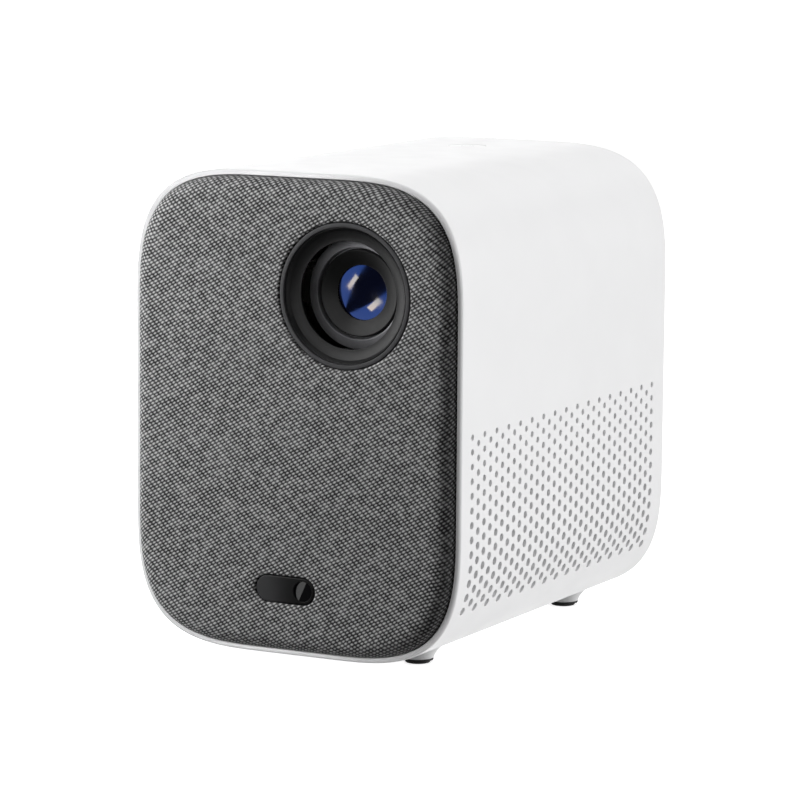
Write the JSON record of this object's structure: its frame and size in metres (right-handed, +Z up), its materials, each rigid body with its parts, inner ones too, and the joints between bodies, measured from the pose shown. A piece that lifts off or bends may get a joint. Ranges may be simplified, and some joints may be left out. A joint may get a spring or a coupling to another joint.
{
  "type": "home projector",
  "caption": "Compact home projector: white one-piece sleeve with vented sides, bulging dark cloth front, offset focusing lens, autofocus window, rear vents and sockets, rubber-tipped feet.",
  "frame": {"origin": "middle of the footprint, on the surface that the foot pads rest on", "axes": "+Z up, the cloth front and the lens face -Y, +X is to the right of someone looking at the front"},
  "size_m": [0.115, 0.1544, 0.1555],
  "materials": {
    "white_shell": "satin white moulded plastic with a soft gloss",
    "white_foot": "white moulded plastic",
    "white_button": "satin white moulded plastic with a pale grey power symbol",
    "speaker_cloth": "dark grey woven acoustic cloth with pale flecks in a diagonal lattice",
    "black_plastic": "black moulded plastic",
    "lens_black": "black satin plastic with fine turned lines",
    "window_black": "glossy black window",
    "grey_cover": "dark grey moulded plastic with fine grain",
    "socket_steel": "nickel-plated sheet steel",
    "screw_steel": "black-plated steel",
    "motor_steel": "zinc-plated steel",
    "black_rubber": "matte black rubber",
    "insert_brass": "turned brass",
    "circuit_board": "green solder mask with copper traces under it",
    "coated_glass": "optical glass with a blue anti-reflection coating",
    "clear_glass": "polished optical glass",
    "chip_mirror": "micro-mirror chip in a dark ceramic package",
    "cast_metal": "die-cast grey metal",
    "fin_aluminium": "brushed aluminium",
    "copper": "drawn copper",
    "gear_nylon": "off-white nylon",
    "red_emitter": "red emitter on a white board",
    "green_emitter": "green emitter on a white board",
    "blue_emitter": "blue emitter on a white board",
    "cone_paper": "pressed black paper with a rubber surround",
    "cable_film": "white film with fine parallel conductors"
  },
  "bodies": {
    "chassis": {"outer_shell": "white_shell", "grille_fabric": "speaker_cloth", "grille_frame": "black_plastic", "lens_bezel": "lens_black", "sensor_window": "window_black", "autofocus_camera": "lens_black", "rear_cover": "grey_cover", "port_panel": "grey_cover", "dc_inlet": "black_plastic", "hdmi_socket": "socket_steel", "usb_socket": "socket_steel", "audio_socket": "black_plastic", "infrared_window": "window_black", "cover_screw_lower_left": "screw_steel", "cover_screw_upper_left": "screw_steel", "cover_screw_lower_right": "screw_steel", "cover_screw_upper_right": "screw_steel", "foot_front_left": "white_foot", "foot_rear_left": "white_foot", "foot_front_right": "white_foot", "foot_rear_right": "white_foot", "foot_pad_front_left": "black_rubber", "foot_pad_rear_left": "black_rubber", "foot_pad_front_right": "black_rubber", "foot_pad_rear_right": "black_rubber", "tripod_insert": "insert_brass", "button_switch": "circuit_board", "lens_mount": "cast_metal", "focus_motor": "motor_steel", "engine_housing": "cast_metal", "engine_cover": "cast_metal", "tir_prism": "clear_glass", "picture_chip": "chip_mirror", "picture_chip_board": "circuit_board", "blue_light": "blue_emitter", "red_light": "red_emitter", "green_light": "green_emitter", "dichroic_plate_blue": "coated_glass", "dichroic_plate_red": "coated_glass", "fan_frame": "black_plastic", "heat_sink": "fin_aluminium", "heat_pipe_blue": "copper", "heat_pipe_red": "copper", "speaker_enclosure_left": "black_plastic", "speaker_driver_left": "motor_steel", "speaker_enclosure_right": "black_plastic", "speaker_driver_right": "motor_steel", "inner_frame": "cast_metal", "main_board": "circuit_board", "light_driver_board": "circuit_board", "flat_cable": "cable_film"},
    "power_button": {"power_button": "white_button"},
    "focus_ring": {"focus_ring_gear": "gear_nylon"},
    "lens_barrel": {"lens_barrel": "lens_black", "front_lens": "coated_glass", "rear_lens": "coated_glass"},
    "focus_pinion": {"focus_pinion": "gear_nylon"},
    "fan_rotor": {"fan_rotor": "black_plastic"},
    "speaker_cone_left": {"speaker_cone_left": "cone_paper"},
    "speaker_cone_right": {"speaker_cone_right": "cone_paper"}
  },
  "joints": [
    {"name": "power_button_press", "type": "slide", "parent": "chassis", "child": "power_button", "axis": [0, 0, -1], "range_m": [0, 0.0006], "stiffness_N_per_m": 500},
    {"name": "focus_ring_turn", "type": "hinge", "parent": "chassis", "child": "focus_ring", "pos_m": [0.0192, -0.049, 0.1188], "axis": [0, 1, 0], "range_deg": [-60, 60]},
    {"name": "lens_barrel_slide", "type": "slide", "parent": "chassis", "child": "lens_barrel", "axis": [0, 1, 0], "range_m": [-0.00119, 0.00119]},
    {"name": "focus_pinion_turn", "type": "hinge", "parent": "chassis", "child": "focus_pinion", "pos_m": [-0.0089, -0.049, 0.1188], "axis": [0, 1, 0], "range_deg": [-221, 221]},
    {"name": "fan_spin", "type": "hinge", "parent": "chassis", "child": "fan_rotor", "pos_m": [-0.0445, 0.028, 0.06], "axis": [1, 0, 0], "continuous": true},
    {"name": "speaker_cone_left_move", "type": "slide", "parent": "chassis", "child": "speaker_cone_left", "axis": [0, -1, 0], "range_m": [-0.001, 0.001], "stiffness_N_per_m": 1200},
    {"name": "speaker_cone_right_move", "type": "slide", "parent": "chassis", "child": "speaker_cone_right", "axis": [0, -1, 0], "range_m": [-0.001, 0.001], "stiffness_N_per_m": 1200}
  ],
  "couplings": [
    {"joint": "focus_ring_turn", "follows": "lens_barrel_slide", "rad_per_m": 877.19},
    {"joint": "focus_pinion_turn", "follows": "lens_barrel_slide", "rad_per_m": -3216.4}
  ]
}
